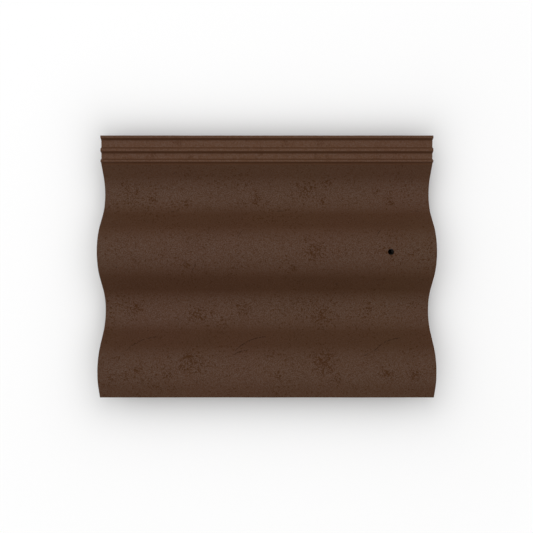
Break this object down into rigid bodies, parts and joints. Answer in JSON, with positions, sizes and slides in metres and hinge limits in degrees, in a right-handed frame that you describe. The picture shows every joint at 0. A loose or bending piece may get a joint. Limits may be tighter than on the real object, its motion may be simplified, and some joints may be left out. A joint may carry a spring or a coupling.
{
  "type": "concrete roof tile",
  "caption": "Interlocking double-roll concrete roof tile with a ribbed underlock, a matching overlock, hanging nibs, weather bars and a nail hole",
  "frame": {"origin": "middle of the outline in plan, at the level of the nib bottoms", "axes": "+X from the tail to the head along the rolls, +Y towards the underlock, +Z out of the weather side"},
  "size_m": [0.42, 0.33, 0.058],
  "materials": {
    "concrete": "dark brown pigmented concrete with a thin satin coat on the rolls and pans, bare on the side lock, the cut ends and the underside"
  },
  "bodies": {
    "root": {"roof_tile": "concrete"}
  },
  "joints": []
}
